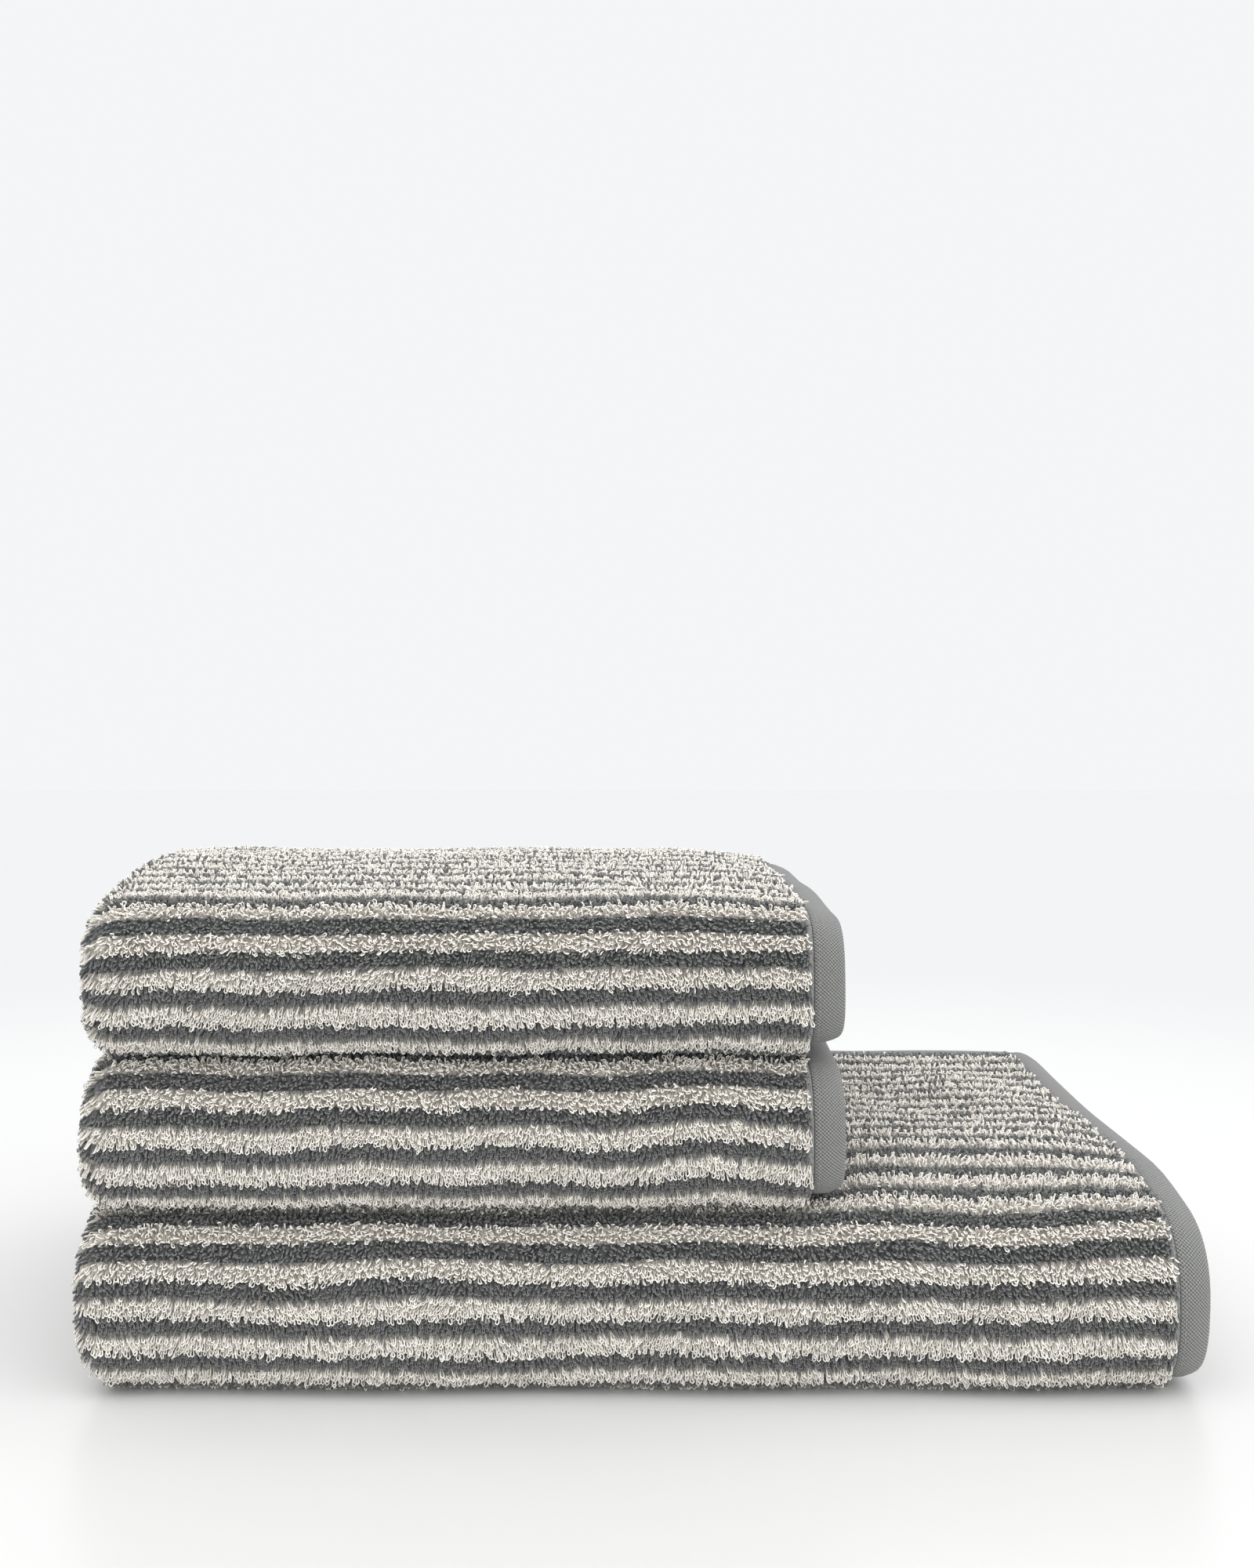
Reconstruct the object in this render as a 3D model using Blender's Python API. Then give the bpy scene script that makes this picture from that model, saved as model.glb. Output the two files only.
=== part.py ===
"""A stack of folded terry towels: a bath towel with two hand towels on top of it.

Each towel is cut flat, hemmed on its four edges, folded in thirds along its length, and then
folded across its width: a hand towel in half, a bath towel in thirds. A point of a towel has
u along its length, v across its width and w through its cloth, and the two folds carry it to
its place in the stack. Metres, +Z up, the stripes along X, the rounded folds towards -Y.
"""

import math

import bpy

# Flat sizes of the finished towels.
HAND_LENGTH = 1.00
HAND_WIDTH = 0.50
BATH_LENGTH = 1.48
BATH_WIDTH = 0.80

# The cloth as it lies in the stack, with loops on both faces. The bath towel's is pressed flatter.
HAND_CLOTH = 0.0110
BATH_CLOTH = 0.0086
LAYER_GAP = 0.0003  # between one layer of cloth and the next
TOWEL_GAP = 0.0003  # between one towel and the next
SEAM_GAP = 0.0003  # between the cloth and a hem, and between a hem and what is sewn on it

# Hems, turned over twice and stitched down.
END_HEM = 0.016
SIDE_HEM = 0.009
HEM_THICKNESS = 0.0035

# The tape that the towel hangs by and the care label, each folded double.
LOOP_LENGTH = 0.045
LOOP_WIDTH = 0.008
LOOP_TAPE = 0.0008
LABEL_LENGTH = 0.035
LABEL_WIDTH = 0.012
LABEL_TAPE = 0.0004
LOOP_FROM_EDGE = 0.10  # from the towel's long edge to the loop
LOOP_TO_LABEL = 0.02

# How the folds lie.
EDGE_PAST_FOLD = 0.003  # how far the outer free edge reaches past the fold beneath it
EDGE_BEFORE_FOLD = 0.001  # how far the inner free edge stops before the bend that holds it
FRONT_DEPTH = 0.92  # of a front bend, as a share of its height
FRONT_SQUARENESS = 0.80  # power on the bend's sine and cosine: 1 is round, less is squarer
HAND_SETBACK = 0.002  # of the hand towels' fronts behind the bath towel's
BACK_RISE = 0.018  # how much higher the bath towel's top lies at its open back than at its front

# Flat steps around the bends.
SMALL_BEND_STEPS = 6
BIG_BEND_STEPS = 10
TAPE_BEND_STEPS = 4

TERRY_GREY = (0.33, 0.33, 0.32)
HEM_GREY = (0.26, 0.27, 0.27)
TAPE_GREY = (0.24, 0.25, 0.25)
LABEL_WHITE = (0.80, 0.80, 0.78)


class HalfFold:
    """A sheet folded once, over a bend at its low end. Its two free edges lie at the high end."""

    def __init__(self, length, thickness, gap, depth=1.0, squareness=1.0, steps=BIG_BEND_STEPS):
        self.thickness = thickness
        self.gap = gap
        self.depth = depth
        self.squareness = squareness
        self.steps = steps
        self.height = 2 * thickness + gap
        self.arc = math.pi * (gap + thickness) / 2
        self.flat = (length - self.arc) / 2
        self.centre = depth * (gap / 2 + thickness)
        self.extent = self.centre + self.flat

    def stations(self, start, end):
        """The lengths from start to end at which the sheet changes direction."""
        return stations_between(start, end, [(self.flat, self.arc, self.steps)])

    def place(self, along, through):
        """Where a point of the sheet lies: how far from the low end, and how high."""
        if along <= self.flat:
            return self.centre + self.flat - along, self.thickness - through
        if along >= self.flat + self.arc:
            flat_part = along - self.flat - self.arc
            return self.centre + flat_part, self.thickness + self.gap + through
        turn = math.pi * (along - self.flat) / self.arc
        across, up = bend_point(turn, self.gap / 2 + through, self.depth, self.squareness)
        return self.centre - across, self.thickness + self.gap / 2 + up


class ThirdsFold:
    """A sheet folded in thirds like a letter. The first third is tucked in, over a small bend at
    the high end, and the last third lies on top, over a big bend at the low end."""

    def __init__(self, length, thickness, gap, depth=1.0, squareness=1.0):
        self.thickness = thickness
        self.gap = gap
        self.depth = depth
        self.squareness = squareness
        self.height = 3 * thickness + 2 * gap
        self.small_arc = math.pi * (gap + thickness) / 2
        self.big_arc = math.pi * (thickness + gap)
        small_reach = gap / 2 + thickness
        outer_extra = small_reach + EDGE_PAST_FOLD
        arcs = self.small_arc + self.big_arc
        self.middle = (length + EDGE_BEFORE_FOLD - outer_extra - arcs) / 3
        self.inner = self.middle - EDGE_BEFORE_FOLD
        self.outer = self.middle + outer_extra
        self.low_centre = depth * self.height / 2
        self.high_centre = self.low_centre + self.middle
        self.extent = self.low_centre + self.outer

    def stations(self, start, end):
        """The lengths from start to end at which the sheet changes direction."""
        big_start = self.inner + self.small_arc + self.middle
        bends = [
            (self.inner, self.small_arc, SMALL_BEND_STEPS),
            (big_start, self.big_arc, BIG_BEND_STEPS),
        ]
        return stations_between(start, end, bends)

    def place(self, along, through):
        """Where a point of the sheet lies: how far from the low end, and how high."""
        if along <= self.inner:
            return self.high_centre - self.inner + along, self.thickness + self.gap + through
        along -= self.inner
        if along < self.small_arc:
            turn = math.pi * (1 - along / self.small_arc)
            across, up = bend_point(turn, self.gap / 2 + through, 1.0, 1.0)
            return self.high_centre + across, self.thickness + self.gap / 2 + up
        along -= self.small_arc
        if along <= self.middle:
            return self.high_centre - along, self.thickness - through
        along -= self.middle
        if along < self.big_arc:
            turn = math.pi * along / self.big_arc
            radius = self.thickness / 2 + self.gap + through
            across, up = bend_point(turn, radius, self.depth, self.squareness)
            return self.low_centre - across, self.height / 2 + up
        along -= self.big_arc
        return self.low_centre + along, 2 * (self.thickness + self.gap) + through


def bend_point(turn, radius, depth, squareness):
    """A point on a half turn from the bottom (0) over the nose to the top (pi)."""
    across = depth * radius * math.sin(turn) ** squareness
    up = -math.cos(turn)
    return across, radius * math.copysign(abs(up) ** squareness, up)


def stations_between(start, end, bends):
    """start, end and every step of the bends between them."""
    found = [start]
    for bend_start, arc, steps in bends:
        for step in range(steps + 1):
            station = bend_start + arc * step / steps
            if start < station < end:
                found.append(station)
    return found + [end]


def material(name, colour, roughness):
    """A plain finish for one kind of cloth."""
    made = bpy.data.materials.get(name) or bpy.data.materials.new(name)
    made.use_nodes = True
    shader = made.node_tree.nodes["Principled BSDF"]
    shader.inputs["Base Color"].default_value = (*colour, 1.0)
    shader.inputs["Roughness"].default_value = roughness
    shader.inputs["Metallic"].default_value = 0.0
    made.diffuse_color = (*colour, 1.0)
    return made


def strip(name, lengthwise, crosswise, throughs, place, finish):
    """A closed solid: a box of the flat towel, cut at the stations and carried by place."""
    columns = len(crosswise)
    points = []
    for through in throughs:
        for u in lengthwise:
            for v in crosswise:
                points.append(place(u, v, through))
    layer = len(lengthwise) * columns

    def index(side, i, j):
        return side * layer + i * columns + j

    faces = []
    last_i = len(lengthwise) - 1
    last_j = columns - 1
    for i in range(last_i):
        for j in range(last_j):
            for side in (0, 1):
                corners = [
                    index(side, i, j),
                    index(side, i + 1, j),
                    index(side, i + 1, j + 1),
                    index(side, i, j + 1),
                ]
                faces.append(corners if side else corners[::-1])
    for i in range(last_i):
        for j, flip in ((0, False), (last_j, True)):
            corners = [index(0, i, j), index(0, i + 1, j), index(1, i + 1, j), index(1, i, j)]
            faces.append(corners[::-1] if flip else corners)
    for j in range(last_j):
        for i, flip in ((0, True), (last_i, False)):
            corners = [index(0, i, j), index(0, i, j + 1), index(1, i, j + 1), index(1, i, j)]
            faces.append(corners[::-1] if flip else corners)
    mesh = bpy.data.meshes.new(name)
    mesh.from_pydata(points, [], faces)
    mesh.update()
    mesh.shade_smooth()
    mesh.set_sharp_from_angle(angle=math.radians(50))
    mesh.materials.append(finish)
    thing = bpy.data.objects.new(name, mesh)
    bpy.context.scene.collection.objects.link(thing)
    return thing


class Settling:
    """How the stack has settled. The bath towel's open edges spring up at the back, and the hand
    towels that lie on it are pressed thinner there, so that the top of the stack stays level."""

    def __init__(self, front, depth, ridge):
        self.front = front
        self.depth = depth
        self.ridge = ridge
        self.top = ridge

    def rise(self, y, z):
        share = (y - self.front) / self.depth
        if z <= self.ridge:
            return BACK_RISE * share * z / self.ridge
        return BACK_RISE * share * (self.top - z) / (self.top - self.ridge)


class Towel:
    """One folded towel: how its flat cloth is carried to its place in the stack."""

    def __init__(self, name, flat_size, cloth, fold_across, left, front, bottom):
        self.name = name
        self.length, self.width = flat_size
        self.cloth = cloth
        self.fold_along = ThirdsFold(self.length, cloth, LAYER_GAP)
        self.fold_across = fold_across(
            self.width, self.fold_along.height, LAYER_GAP, FRONT_DEPTH, FRONT_SQUARENESS
        )
        self.left = left
        self.front = front
        self.bottom = bottom
        self.top = bottom + self.fold_across.height
        self.settling = None

    def place(self, u, v, w):
        across_left, height = self.fold_along.place(u, w)
        behind_front, up = self.fold_across.place(v, height)
        y = self.front + behind_front
        z = self.bottom + up
        return self.left + across_left, y, z + self.settling.rise(y, z)

    def stations(self, u_range, v_range):
        return self.fold_along.stations(*u_range), self.fold_across.stations(*v_range)

    def mid_layer(self, thickness):
        """The lower and upper face of something centred in the cloth's thickness."""
        return (self.cloth - thickness) / 2, (self.cloth + thickness) / 2

    def flat_strip(self, part, u_range, v_range, throughs, finish):
        lengthwise, crosswise = self.stations(u_range, v_range)
        return strip(f"{self.name}_{part}", lengthwise, crosswise, throughs, self.place, finish)

    def doubled_tape(self, part, base, start, size, thickness, finish):
        """A tape folded double on the inner end hem. base is how high in the cloth it lies."""
        tape_length, tape_width = size
        path = HalfFold(2 * tape_length, thickness, LAYER_GAP, steps=TAPE_BEND_STEPS)
        edge = (END_HEM - tape_width) / 2
        nose = start + path.centre
        legs = [v - nose for v in self.fold_across.stations(nose, start + path.extent)]

        def place(u, along, through):
            from_nose, up = path.place(along, through)
            return self.place(u, start + from_nose, base + up)

        lengthwise = [edge, edge + tape_width]
        crosswise = path.stations(0, 2 * tape_length)
        crosswise += [path.flat - leg for leg in legs[1:-1]]
        crosswise += [path.flat + path.arc + leg for leg in legs[1:-1]]
        faces = (0, thickness)
        return strip(f"{self.name}_{part}", lengthwise, sorted(crosswise), faces, place, finish)

    def build(self):
        """The cloth, its four hems, and the loop and label sewn on the hem that is folded in."""
        terry = material("terry_cloth", TERRY_GREY, 0.95)
        hem = material("woven_hem", HEM_GREY, 0.85)
        tape = material("loop_tape", TAPE_GREY, 0.8)
        label = material("label_satin", LABEL_WHITE, 0.5)
        end = self.length - END_HEM
        side = self.width - SIDE_HEM
        cloth_u = (END_HEM + SEAM_GAP, end - SEAM_GAP)
        cloth_v = (SIDE_HEM + SEAM_GAP, side - SEAM_GAP)
        band = self.mid_layer(HEM_THICKNESS)
        loop_height = 2 * LOOP_TAPE + LAYER_GAP
        sewn_on = self.mid_layer(HEM_THICKNESS + SEAM_GAP + loop_height)[0]
        sewn_band = (sewn_on, sewn_on + HEM_THICKNESS)
        tape_base = sewn_band[1] + SEAM_GAP
        self.flat_strip("terry_cloth", cloth_u, cloth_v, (0, self.cloth), terry)
        self.flat_strip("outer_end_hem", (end, self.length), (0, self.width), band, hem)
        self.flat_strip("inner_end_hem", (0, END_HEM), (0, self.width), sewn_band, hem)
        self.flat_strip("side_hem_low", cloth_u, (0, SIDE_HEM), band, hem)
        self.flat_strip("side_hem_high", cloth_u, (side, self.width), band, hem)
        self.doubled_tape(
            "hanging_loop", tape_base, LOOP_FROM_EDGE, (LOOP_LENGTH, LOOP_WIDTH), LOOP_TAPE, tape
        )
        self.doubled_tape(
            "care_label",
            tape_base,
            LOOP_FROM_EDGE + LOOP_LENGTH + LOOP_TO_LABEL,
            (LABEL_LENGTH, LABEL_WIDTH),
            LABEL_TAPE,
            label,
        )


def clear_scene():
    for thing in list(bpy.data.objects):
        bpy.data.objects.remove(thing)


def build_stack():
    """The bath towel stands centred on the origin. The hand towels lie on its left part."""
    bath_size = (BATH_LENGTH, BATH_WIDTH)
    hand_size = (HAND_LENGTH, HAND_WIDTH)
    bath = Towel("bath", bath_size, BATH_CLOTH, ThirdsFold, 0, 0, 0)
    bath.left = -bath.fold_along.extent / 2
    bath.front = -bath.fold_across.extent / 2
    hand_front = bath.front + HAND_SETBACK
    towels = [bath]
    for name in ("lower_hand", "upper_hand"):
        bottom = towels[-1].top + TOWEL_GAP
        hand = Towel(name, hand_size, HAND_CLOTH, HalfFold, bath.left, hand_front, bottom)
        towels.append(hand)
    ridge = bath.top + TOWEL_GAP / 2
    settling = Settling(bath.front, bath.fold_across.extent, ridge)
    settling.top = towels[-1].top
    for towel in towels:
        towel.settling = settling
        towel.build()


clear_scene()
build_stack()
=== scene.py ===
import math

import bpy
import numpy as np
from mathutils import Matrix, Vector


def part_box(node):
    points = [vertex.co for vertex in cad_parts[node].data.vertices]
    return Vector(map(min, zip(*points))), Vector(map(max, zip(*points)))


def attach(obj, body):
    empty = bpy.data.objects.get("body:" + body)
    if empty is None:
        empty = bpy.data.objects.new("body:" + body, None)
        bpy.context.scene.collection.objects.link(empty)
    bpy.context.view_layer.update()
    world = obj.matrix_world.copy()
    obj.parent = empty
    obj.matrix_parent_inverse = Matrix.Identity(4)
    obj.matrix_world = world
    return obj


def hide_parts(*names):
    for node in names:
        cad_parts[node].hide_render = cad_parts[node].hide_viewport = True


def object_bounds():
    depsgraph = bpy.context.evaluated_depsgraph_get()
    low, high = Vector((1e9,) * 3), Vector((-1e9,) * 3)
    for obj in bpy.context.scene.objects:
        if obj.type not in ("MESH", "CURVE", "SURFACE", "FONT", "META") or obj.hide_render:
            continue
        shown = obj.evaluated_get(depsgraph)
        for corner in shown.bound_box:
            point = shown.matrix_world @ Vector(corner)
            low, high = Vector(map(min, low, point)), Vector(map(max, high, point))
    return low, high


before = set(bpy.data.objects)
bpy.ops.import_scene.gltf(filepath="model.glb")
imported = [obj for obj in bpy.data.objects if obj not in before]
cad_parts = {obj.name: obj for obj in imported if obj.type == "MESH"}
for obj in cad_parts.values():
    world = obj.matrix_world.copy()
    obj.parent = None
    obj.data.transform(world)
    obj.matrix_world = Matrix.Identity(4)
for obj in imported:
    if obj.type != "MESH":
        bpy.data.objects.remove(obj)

cad_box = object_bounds()
scene = bpy.context.scene
scene.view_settings.view_transform = "Standard"
scene.view_settings.look = "None"

# --- The view -----------------------------------------------------------------------------
# A level camera nine tenths of a metre in front of the stack and a little above its top, so
# that the fronts of the folds are seen square on and the tops only at a grazing angle.
camera_data = bpy.data.cameras.new("camera")
camera_data.sensor_width = 36
camera_data.lens = 40.3
camera_data.shift_x = 0.0565
camera_data.shift_y = -0.06
camera_data.clip_start = 0.01
camera = bpy.data.objects.new("camera", camera_data)
camera.location = (-0.0453, -0.9027, 0.3106)
camera.rotation_euler = (math.radians(90), 0, 0)
scene.collection.objects.link(camera)
scene.camera = camera

# --- How a towel is folded ----------------------------------------------------------------
# Each towel is cut flat, hemmed, folded in thirds along its length and then across its
# width: a hand towel in half, the bath towel in thirds. A point of a towel has u along its
# length, v across its width and w through its cloth, and the two folds carry it to its place.
MM = 0.001
LAYER_GAP = 0.3 * MM  # between one layer of cloth and the next, and between two towels
EDGE_PAST_FOLD = 3 * MM
EDGE_BEFORE_FOLD = 1 * MM
FRONT_DEPTH = 0.92  # of a front bend, as a share of its height
BELLY_SQUARENESS = 0.66  # power on the bend's sine and cosine below its nose
BROW_SQUARENESS = 0.80  # and above it


def bend(turn, radius, depth, low_square, high_square):
    """How far out and up a half turn has come, from its bottom (0) over its nose to pi."""
    square = np.where(turn < np.pi / 2, low_square, high_square)
    up = -np.cos(turn)
    across = depth * radius * np.clip(np.sin(turn), 0, None) ** square
    return across, radius * np.sign(up) * np.abs(up) ** square


class HalfFold:
    """A sheet folded once, over a bend at its low end."""

    def __init__(self, length, thickness, front):
        self.front = front
        self.thickness = thickness
        self.height = 2 * thickness + LAYER_GAP
        self.arc = np.pi * (LAYER_GAP + thickness) / 2
        self.flat = (length - self.arc) / 2
        self.centre = front[0] * (LAYER_GAP / 2 + thickness)
        self.bends = [(self.flat, self.flat + self.arc)]
        self.nose = self.flat + self.arc / 2

    def place(self, along, through):
        past = along - self.flat
        turn = np.pi * np.clip(past / self.arc, 0, 1)
        across, up = bend(turn, LAYER_GAP / 2 + through, *self.front)
        run = np.where(past < 0, -past, np.clip(past - self.arc, 0, None))
        return self.centre + run - across, self.height / 2 + up


class ThirdsFold:
    """A sheet folded in thirds like a letter: the first third is tucked in over a small bend
    at the high end, and the last third lies on top, over a big bend at the low end."""

    def __init__(self, length, thickness, front):
        self.front = front
        self.thickness = thickness
        self.height = 3 * thickness + 2 * LAYER_GAP
        small_arc = np.pi * (LAYER_GAP + thickness) / 2
        big_arc = np.pi * (thickness + LAYER_GAP)
        outer_extra = LAYER_GAP / 2 + thickness + EDGE_PAST_FOLD
        middle = (length + EDGE_BEFORE_FOLD - outer_extra - small_arc - big_arc) / 3
        inner = middle - EDGE_BEFORE_FOLD
        self.small = (inner, inner + small_arc)
        self.big = (inner + small_arc + middle, inner + small_arc + middle + big_arc)
        self.low_centre = front[0] * self.height / 2
        self.high_centre = self.low_centre + middle
        self.bends = [self.small, self.big]
        self.nose = sum(self.big) / 2

    def place(self, along, through):
        low, high = self.small
        turn = np.pi * (1 - np.clip((along - low) / (high - low), 0, 1))
        small_across, small_up = bend(turn, LAYER_GAP / 2 + through, 1, 1, 1)
        inside = np.clip(low - along, 0, None) + np.clip(along - high, 0, None)
        small_place = self.high_centre - inside + small_across
        small_height = self.thickness + LAYER_GAP / 2 + small_up
        low, high = self.big
        turn = np.pi * np.clip((along - low) / (high - low), 0, 1)
        radius = self.thickness / 2 + LAYER_GAP + through
        big_across, big_up = bend(turn, radius, *self.front)
        outside = np.clip(low - along, 0, None) + np.clip(along - high, 0, None)
        big_place = self.low_centre + outside - big_across
        early = along < (self.small[1] + self.big[0]) / 2
        return (
            np.where(early, small_place, big_place),
            np.where(early, small_height, self.height / 2 + big_up),
        )


# --- How the stack has settled ------------------------------------------------------------
# The bath towel's open edges spring up at the back and press the hand towels thinner there.
# Handling has left every face a few millimetres off flat. One smooth movement carries all
# the pieces, so that what touches still touches.
BACK_RISE = 18 * MM
CROWN = 11 * MM  # how far the hand towels stand up in the middle
PUFF = 12 * MM  # the same for the bath towel beside them
PINCH = 4 * MM  # how far the seams between the folded ends draw in
TUCK = 8 * MM  # how far the lowest folded end draws in under the stack
hand_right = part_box("upper_hand_outer_end_hem")[1][0]
stack_low, stack_high = cad_box
stack_front = stack_low[1]
stack_depth = stack_high[1] - stack_low[1]
stack_top = stack_high[2]
HAND_TOWELS_HEIGHT = 135.3 * MM
ridge = stack_top - HAND_TOWELS_HEIGHT - LAYER_GAP / 2


class Ripples:
    """A smooth random surface: a few crossing waves with wavelengths between two limits."""

    def __init__(self, seed, shortest, longest, height, count=7):
        chance = np.random.default_rng(seed)
        lengths = chance.uniform(shortest, longest, count)
        headings = chance.uniform(0, 2 * np.pi, count)
        self.a = 2 * np.pi * np.cos(headings) / lengths
        self.b = 2 * np.pi * np.sin(headings) / lengths
        self.start = chance.uniform(0, 2 * np.pi, count)
        self.height = height * np.sqrt(2 / count)

    def at(self, a, b):
        total = np.zeros(np.broadcast(a, b).shape)
        for wave_a, wave_b, start in zip(self.a, self.b, self.start):
            total += np.sin(wave_a * a + wave_b * b + start)
        return total * self.height


top_ripples = Ripples(11, 0.07, 0.20, 0.6 * MM)
ridge_ripples = Ripples(12, 0.06, 0.16, 0.6 * MM)
front_ripples = Ripples(13, 0.05, 0.14, 0.9 * MM)
end_ripples = Ripples(14, 0.09, 0.20, 0.7 * MM)


def smooth_step(x):
    """0 up to 0, 1 from 1 on, and a smooth rise between."""
    x = np.clip(x, 0, 1)
    return x * x * (3 - 2 * x)


def settle(points):
    x, y, z = points[..., 0], points[..., 1], points[..., 2]
    share = (y - stack_front) / stack_depth
    rise = np.where(z < ridge, z / ridge, (stack_top - z) / (stack_top - ridge))
    level = np.clip(z / stack_top, 0, 1)
    moved = points.copy()
    moved[..., 2] += BACK_RISE * share * rise

    # The top towels are plump in the middle, and so is the bath towel where it lies free.
    above = np.clip((z - ridge) / (stack_top - ridge), 0, 1)
    fuller = 1 - 0.75 * smooth_step((x - hand_right + 0.07) / 0.08)
    moved[..., 2] += CROWN * above * fuller * np.clip(1 - (y / 0.13) ** 2, 0, None)
    free = smooth_step((x - hand_right + 0.02) / 0.035) * (1 - 0.5 * smooth_step((x - 0.20) / 0.05))
    plump = smooth_step((y + 0.125) / 0.06) * (1 - 0.8 * np.clip((y + 0.06) / 0.15, 0, 1))
    moved[..., 2] += PUFF * free * plump * rise

    # The folded ends at the left bulge between the seams and draw in under the stack.
    in_towel = np.where(z < ridge, z / ridge, 2 * above % 1)
    pinch = PINCH * np.abs(2 * in_towel - 1) ** 3
    tuck = TUCK * np.clip(1 - 2 * z / ridge, 0, 1) ** 2
    moved[..., 0] += (pinch + tuck) * smooth_step((-x - 0.20) / 0.05)

    moved[..., 2] += level * top_ripples.at(x, y)
    moved[..., 2] += np.sin(np.pi * level) * ridge_ripples.at(x, y)
    near_front = (1 - np.clip(share, 0, 1)) ** 2
    moved[..., 1] += near_front * front_ripples.at(x, z)
    side = np.clip(x / stack_high[0], -1, 1) ** 3
    moved[..., 0] += side * end_ripples.at(y, z)
    return moved


class Towel:
    """One folded towel, and how far each point of its outer face is from the front fold."""

    def __init__(self, name, size, cloth, across_kind, below, seed):
        self.name = name
        self.body = f"{name}_towel"
        self.length, self.width = size
        self.cloth = cloth
        self.seed = seed
        round_fold = (1.0, 1.0, 1.0)
        square_fold = (FRONT_DEPTH, BELLY_SQUARENESS, BROW_SQUARENESS)
        self.along = ThirdsFold(self.length, cloth, round_fold)
        self.across = across_kind(self.width, self.along.height, square_fold)
        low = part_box(f"{name}_terry_cloth")[0]
        self.left = low[0]
        self.front = low[1]
        self.bottom = below.top + LAYER_GAP if below else 0.0
        self.top = self.bottom + self.across.height
        v = np.linspace(0, self.width, 4001)
        place, height = self.across.place(v, self.along.height)
        steps = np.hypot(np.diff(place), np.diff(height))
        run = np.concatenate([[0], np.cumsum(steps)])
        self.table_v = v
        self.table_run = run - np.interp(self.across.nose, v, run)

    def place(self, u, v, w):
        """Where points of the flat towel lie in the stack."""
        across_left, height = self.along.place(u, w)
        behind_front, up = self.across.place(v, height)
        shape = np.broadcast(across_left, behind_front, up).shape
        points = np.empty(shape + (3,))
        points[..., 0] = self.left + across_left
        points[..., 1] = self.front + behind_front
        points[..., 2] = self.bottom + up
        return settle(points)

    def run(self, v):
        """How far along the outer face v is from the nose of the front fold, up being plus."""
        return np.interp(v, self.table_v, self.table_run)

    def v_at(self, run):
        return np.interp(run, self.table_run, self.table_v)

    def directions(self, u, v, w):
        """The unit directions along the length, across the width and out of the cloth."""
        step = 0.2 * MM
        at = self.place(u, v, w)
        found = []
        for move in ((step, 0, 0), (0, step, 0), (0, 0, step)):
            way = self.place(u + move[0], v + move[1], w + move[2]) - at
            found.append(way / np.maximum(np.linalg.norm(way, axis=-1, keepdims=True), 1e-12))
        return at, found


HAND_SIZE = (1.00, 0.50)
BATH_SIZE = (1.48, 0.80)
HAND_CLOTH = 11.0 * MM
BATH_CLOTH = 8.6 * MM  # pressed flatter by what lies on it
END_HEM = 16 * MM
SIDE_HEM = 9 * MM
HEM_THICKNESS = 3.5 * MM
bath = Towel("bath", BATH_SIZE, BATH_CLOTH, ThirdsFold, None, 1)
lower_hand = Towel("lower_hand", HAND_SIZE, HAND_CLOTH, HalfFold, bath, 2)
upper_hand = Towel("upper_hand", HAND_SIZE, HAND_CLOTH, HalfFold, lower_hand, 3)
towels = [bath, lower_hand, upper_hand]


def steps_between(start, end, bends, flat_step, bend_steps):
    """Stations from start to end, wide on the flats and close in the bends."""
    marks = [start]
    for low, high in bends:
        marks += [x for x in (low, high) if start < x < end]
    marks.append(end)
    found = []
    for low, high in zip(marks, marks[1:]):
        middle = (low + high) / 2
        in_bend = any(a < middle < b for a, b in bends)
        count = bend_steps if in_bend else max(1, math.ceil((high - low) / flat_step))
        found += list(np.linspace(low, high, count, endpoint=False))
    return np.array(found + [end])


# --- Terry cloth --------------------------------------------------------------------------
# The ground of each towel: cotton woven with a slack second warp whose loops stand up on
# both faces. The loops are grown later, so where they show the ground lies lower by their
# height. Stripes of cream and charcoal loops run along the towel, 8.3 mm each.
STRIPE_PITCH = 16.6 * MM
PILE_ROOM = 2.7 * MM  # from the ground to the tips of the loops that show
PRESSED_ROOM = 1.1 * MM  # the same where a towel lies on another
STRIPE_SHIFT = {"bath": 2.2 * MM, "lower_hand": 2.8 * MM, "upper_hand": 3.6 * MM}
stripe_sway = {t.name: Ripples(20 + t.seed, 0.05, 0.13, 0.55 * MM, 8) for t in towels}
stripe_shake = {t.name: Ripples(30 + t.seed, 0.012, 0.03, 0.30 * MM, 9) for t in towels}


def stripe_phase(towel, u, run):
    """Whole numbers lie in the middle of the cream stripes, and halves in the charcoal."""
    sway = stripe_sway[towel.name].at(u, run) + stripe_shake[towel.name].at(u, run)
    return (run - STRIPE_SHIFT[towel.name] + sway) / STRIPE_PITCH


def linear(code):
    """An sRGB hex colour as the linear numbers that a shader takes."""
    found = []
    for start in (1, 3, 5):
        part = int(code[start : start + 2], 16) / 255
        found.append(part / 12.92 if part <= 0.04045 else ((part + 0.055) / 1.055) ** 2.4)
    return (*found, 1.0)


def add_node(tree, kind, inputs=None, **settings):
    """Adds a node. inputs gives each socket a value, or another node's output to link."""
    node = tree.nodes.new(kind)
    for key, value in settings.items():
        setattr(node, key, value)
    for socket, value in (inputs or {}).items():
        if isinstance(value, bpy.types.NodeSocket):
            tree.links.new(value, node.inputs[socket])
        else:
            node.inputs[socket].default_value = value
    return node


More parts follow.
